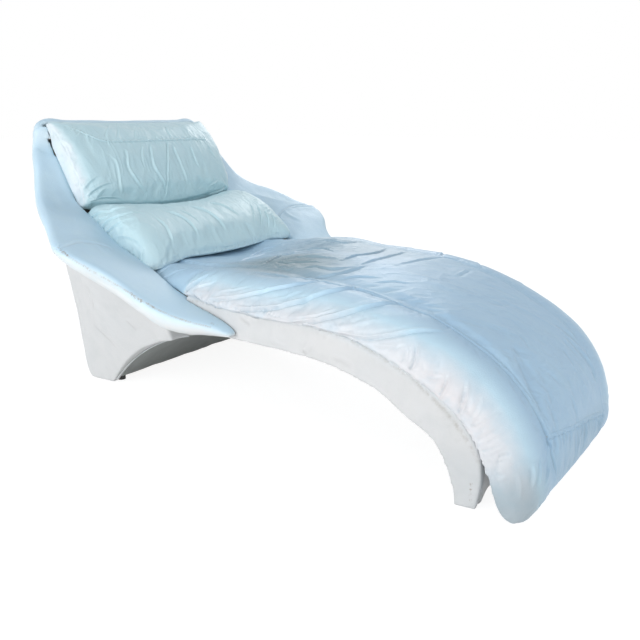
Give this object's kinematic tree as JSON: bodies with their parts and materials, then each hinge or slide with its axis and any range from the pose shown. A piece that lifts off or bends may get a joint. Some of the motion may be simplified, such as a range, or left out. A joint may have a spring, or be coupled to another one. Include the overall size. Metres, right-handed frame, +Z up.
{
  "type": "leather relaxation lounger",
  "caption": "Wide relaxation lounger in pale blue leather with swept arms, sloped back, lumbar pillow and an arched seat that runs down to the floor.",
  "frame": {"origin": "on the floor, under the middle of the whole lounger's box", "axes": "+X towards the foot end, +Y to the left of a person who lies on it, +Z up"},
  "size_m": [1.7715, 1.218, 0.8658],
  "materials": {
    "seat_leather": "satin",
    "back_leather": "satin",
    "arm_leather": "satin",
    "side_leather": "satin",
    "welt_leather": "satin",
    "lining_cloth": "matte",
    "grip_tape": "matte",
    "webbing": "matte",
    "plywood": "matte",
    "beech": "matte",
    "zinc_steel": "satin",
    "black_plastic": "matte"
  },
  "bodies": {
    "root": {"seat_cushion": "seat_leather", "back_cushion": "back_leather", "lumbar_pillow": "back_leather", "arm_pad_left": "arm_leather", "arm_pad_right": "arm_leather", "top_roll": "arm_leather", "rail_cover_left": "side_leather", "rail_cover_right": "side_leather", "pedestal_cover_left": "side_leather", "pedestal_cover_right": "side_leather", "outside_back": "side_leather", "foot_end_cover": "side_leather", "welt_left": "welt_leather", "welt_right": "welt_leather", "underside_cover": "lining_cloth", "grip_strips": "grip_tape", "back_webbing": "webbing", "side_board_left": "plywood", "side_board_right": "plywood", "seat_deck": "plywood", "arm_ribs_left": "plywood", "arm_ribs_right": "plywood", "foot_crossbar": "beech", "knee_crossbar": "beech", "middle_crossbar": "beech", "seat_crossbar": "beech", "rear_crossbar": "beech", "back_crossbar": "beech", "top_crossbar": "beech", "base_crossbar": "beech", "deck_batten_left": "beech", "deck_batten_right": "beech", "back_batten_left": "beech", "back_batten_right": "beech", "corner_blocks": "beech", "frame_bolts": "zinc_steel", "barrel_nuts": "zinc_steel", "foot_screws": "zinc_steel", "glide_screws": "zinc_steel", "pedestal_glides": "black_plastic", "foot_glides": "black_plastic"}
  },
  "joints": []
}
